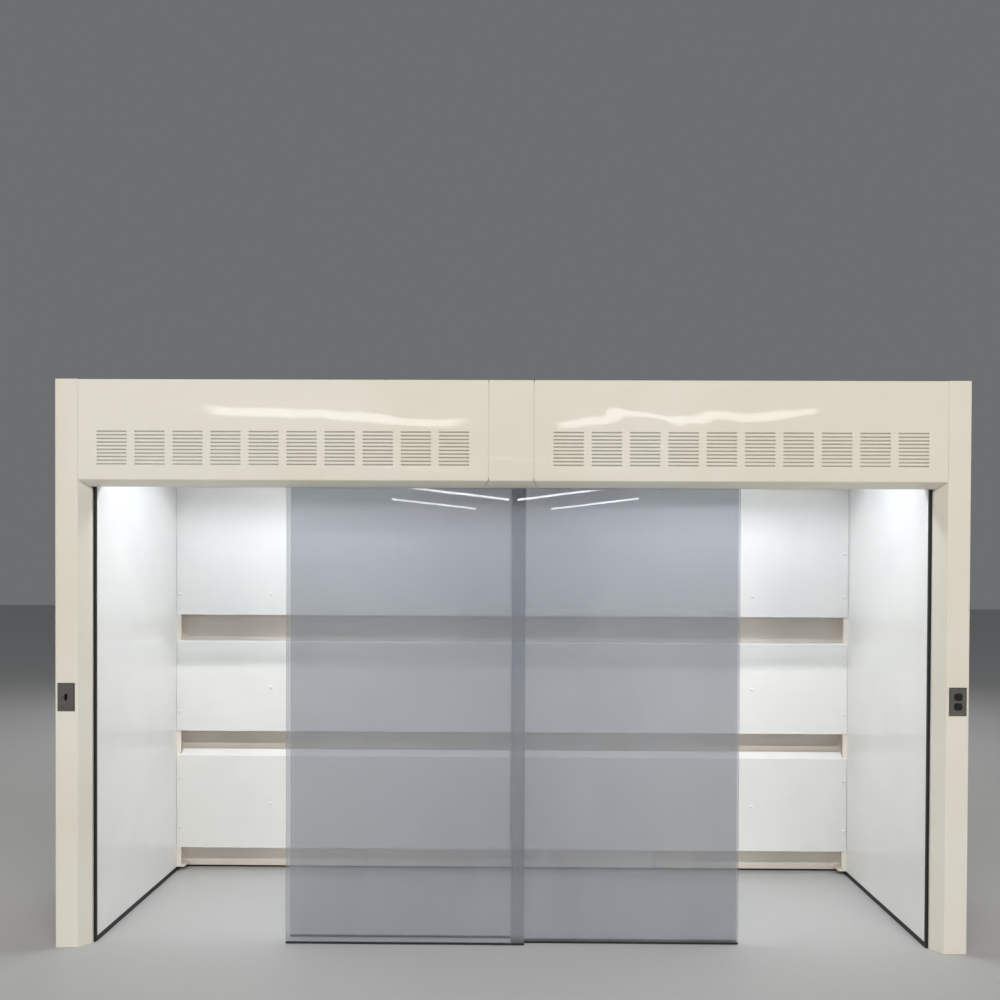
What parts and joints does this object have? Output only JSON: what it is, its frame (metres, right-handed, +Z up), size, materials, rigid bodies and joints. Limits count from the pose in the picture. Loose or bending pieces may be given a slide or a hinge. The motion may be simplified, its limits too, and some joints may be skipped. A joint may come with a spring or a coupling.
{
  "type": "fume hood",
  "caption": "Walk-in laboratory fume hood with a louvred header, hanging sliding glass sashes, slotted white baffles and round exhaust collars.",
  "frame": {"origin": "on the floor, at the middle of the overall width and depth", "axes": "+X to the right seen from the front, along the width; +Y from the open front to the rear panel; +Z up"},
  "size_m": [3.658, 1.2328, 2.362],
  "materials": {
    "cream_paint": "glossy cream powder coat on folded steel sheet, with slight orange peel",
    "white_liner": "smooth white glass-reinforced liner board, satin",
    "beige_liner": "smooth beige glass-reinforced liner board, satin",
    "white_nylon": "moulded white nylon screw heads",
    "frame_steel": "grey primed steel tube",
    "galvanised_steel": "galvanised sheet",
    "anodised_aluminium": "clear anodised extrusion",
    "black_rubber": "matte black extruded rubber",
    "lamp_housing_paint": "white reflective enamel",
    "lamp_lens": "clear safety glass lamp cover",
    "lamp_tube": "white coated lamp tube",
    "stainless_steel": "brushed stainless steel",
    "black_plastic": "moulded black thermoplastic",
    "tinted_glass": "grey laminated safety glass with polished edges",
    "roller_nylon": "moulded nylon wheels on one axle"
  },
  "bodies": {
    "root": {"left_post": "cream_paint", "right_post": "cream_paint", "header_left": "cream_paint", "header_right": "cream_paint", "header_centre": "cream_paint", "left_side_panel": "cream_paint", "right_side_panel": "cream_paint", "rear_panel": "cream_paint", "roof_panel": "cream_paint", "left_liner": "white_liner", "right_liner": "white_liner", "back_liner": "beige_liner", "ceiling_liner": "white_liner", "baffle_lower_left": "white_liner", "baffle_lower_right": "white_liner", "baffle_middle_left": "white_liner", "baffle_middle_right": "white_liner", "baffle_upper_left": "white_liner", "baffle_upper_right": "white_liner", "baffle_top_left": "white_liner", "baffle_top_right": "white_liner", "baffle_supports": "beige_liner", "baffle_knobs": "white_nylon", "side_frames": "frame_steel", "roof_frame": "frame_steel", "exhaust_collar_left": "galvanised_steel", "exhaust_collar_right": "galvanised_steel", "sash_track": "anodised_aluminium", "track_stops": "black_rubber", "side_gaskets": "black_rubber", "floor_seals": "black_rubber", "light_housings": "lamp_housing_paint", "light_lenses": "lamp_lens", "light_tubes": "lamp_tube", "switch_plate": "stainless_steel", "switch_body": "black_plastic", "outlet_plate": "stainless_steel", "outlet_body": "black_plastic", "plate_screws": "stainless_steel"},
    "sash_1": {"sash_pane_1": "tinted_glass", "sash_hanger_1": "anodised_aluminium", "sash_sweep_1": "black_rubber"},
    "roller_1_left": {"roller_1_left": "roller_nylon"},
    "roller_1_right": {"roller_1_right": "roller_nylon"},
    "sash_2": {"sash_pane_2": "tinted_glass", "sash_hanger_2": "anodised_aluminium", "sash_sweep_2": "black_rubber"},
    "roller_2_left": {"roller_2_left": "roller_nylon"},
    "roller_2_right": {"roller_2_right": "roller_nylon"},
    "sash_3": {"sash_pane_3": "tinted_glass", "sash_hanger_3": "anodised_aluminium", "sash_sweep_3": "black_rubber"},
    "roller_3_left": {"roller_3_left": "roller_nylon"},
    "roller_3_right": {"roller_3_right": "roller_nylon"},
    "sash_4": {"sash_pane_4": "tinted_glass", "sash_hanger_4": "anodised_aluminium", "sash_sweep_4": "black_rubber"},
    "roller_4_left": {"roller_4_left": "roller_nylon"},
    "roller_4_right": {"roller_4_right": "roller_nylon"},
    "switch_lever": {"switch_toggle": "black_plastic"}
  },
  "joints": [
    {"name": "sash_1_slide", "type": "slide", "parent": "root", "child": "sash_1", "axis": [1, 0, 0], "range_m": [-0.7725, 1.6245]},
    {"name": "roller_1_left_spin", "type": "hinge", "parent": "sash_1", "child": "roller_1_left", "pos_m": [-0.8525, -0.54059, 1.9633], "axis": [0, 1, 0], "continuous": true},
    {"name": "roller_1_right_spin", "type": "hinge", "parent": "sash_1", "child": "roller_1_right", "pos_m": [0.0005, -0.54059, 1.9633], "axis": [0, 1, 0], "continuous": true},
    {"name": "sash_2_slide", "type": "slide", "parent": "root", "child": "sash_2", "axis": [1, 0, 0], "range_m": [-1.692, 0.75]},
    {"name": "roller_2_left_spin", "type": "hinge", "parent": "sash_2", "child": "roller_2_left", "pos_m": [0.067, -0.51459, 1.9633], "axis": [0, 1, 0], "continuous": true},
    {"name": "roller_2_right_spin", "type": "hinge", "parent": "sash_2", "child": "roller_2_right", "pos_m": [0.875, -0.51459, 1.9633], "axis": [0, 1, 0], "continuous": true},
    {"name": "sash_3_slide", "type": "slide", "parent": "root", "child": "sash_3", "axis": [1, 0, 0], "range_m": [-1.689, 0.753]},
    {"name": "roller_3_left_spin", "type": "hinge", "parent": "sash_3", "child": "roller_3_left", "pos_m": [0.064, -0.48859, 1.9633], "axis": [0, 1, 0], "continuous": true},
    {"name": "roller_3_right_spin", "type": "hinge", "parent": "sash_3", "child": "roller_3_right", "pos_m": [0.872, -0.48859, 1.9633], "axis": [0, 1, 0], "continuous": true},
    {"name": "sash_4_slide", "type": "slide", "parent": "root", "child": "sash_4", "axis": [1, 0, 0], "range_m": [-0.7735, 1.6235]},
    {"name": "roller_4_left_spin", "type": "hinge", "parent": "sash_4", "child": "roller_4_left", "pos_m": [-0.8515, -0.46259, 1.9633], "axis": [0, 1, 0], "continuous": true},
    {"name": "roller_4_right_spin", "type": "hinge", "parent": "sash_4", "child": "roller_4_right", "pos_m": [0.0015, -0.46259, 1.9633], "axis": [0, 1, 0], "continuous": true},
    {"name": "switch_lever_rock", "type": "hinge", "parent": "root", "child": "switch_lever", "pos_m": [-1.7835, -0.59859, 1.01], "axis": [1, 0, 0], "range_deg": [0, 26]}
  ],
  "couplings": [
    {"joint": "roller_1_left_spin", "follows": "sash_1_slide", "rad_per_m": 100},
    {"joint": "roller_1_right_spin", "follows": "sash_1_slide", "rad_per_m": 100},
    {"joint": "roller_2_left_spin", "follows": "sash_2_slide", "rad_per_m": 100},
    {"joint": "roller_2_right_spin", "follows": "sash_2_slide", "rad_per_m": 100},
    {"joint": "roller_3_left_spin", "follows": "sash_3_slide", "rad_per_m": 100},
    {"joint": "roller_3_right_spin", "follows": "sash_3_slide", "rad_per_m": 100},
    {"joint": "roller_4_left_spin", "follows": "sash_4_slide", "rad_per_m": 100},
    {"joint": "roller_4_right_spin", "follows": "sash_4_slide", "rad_per_m": 100}
  ]
}
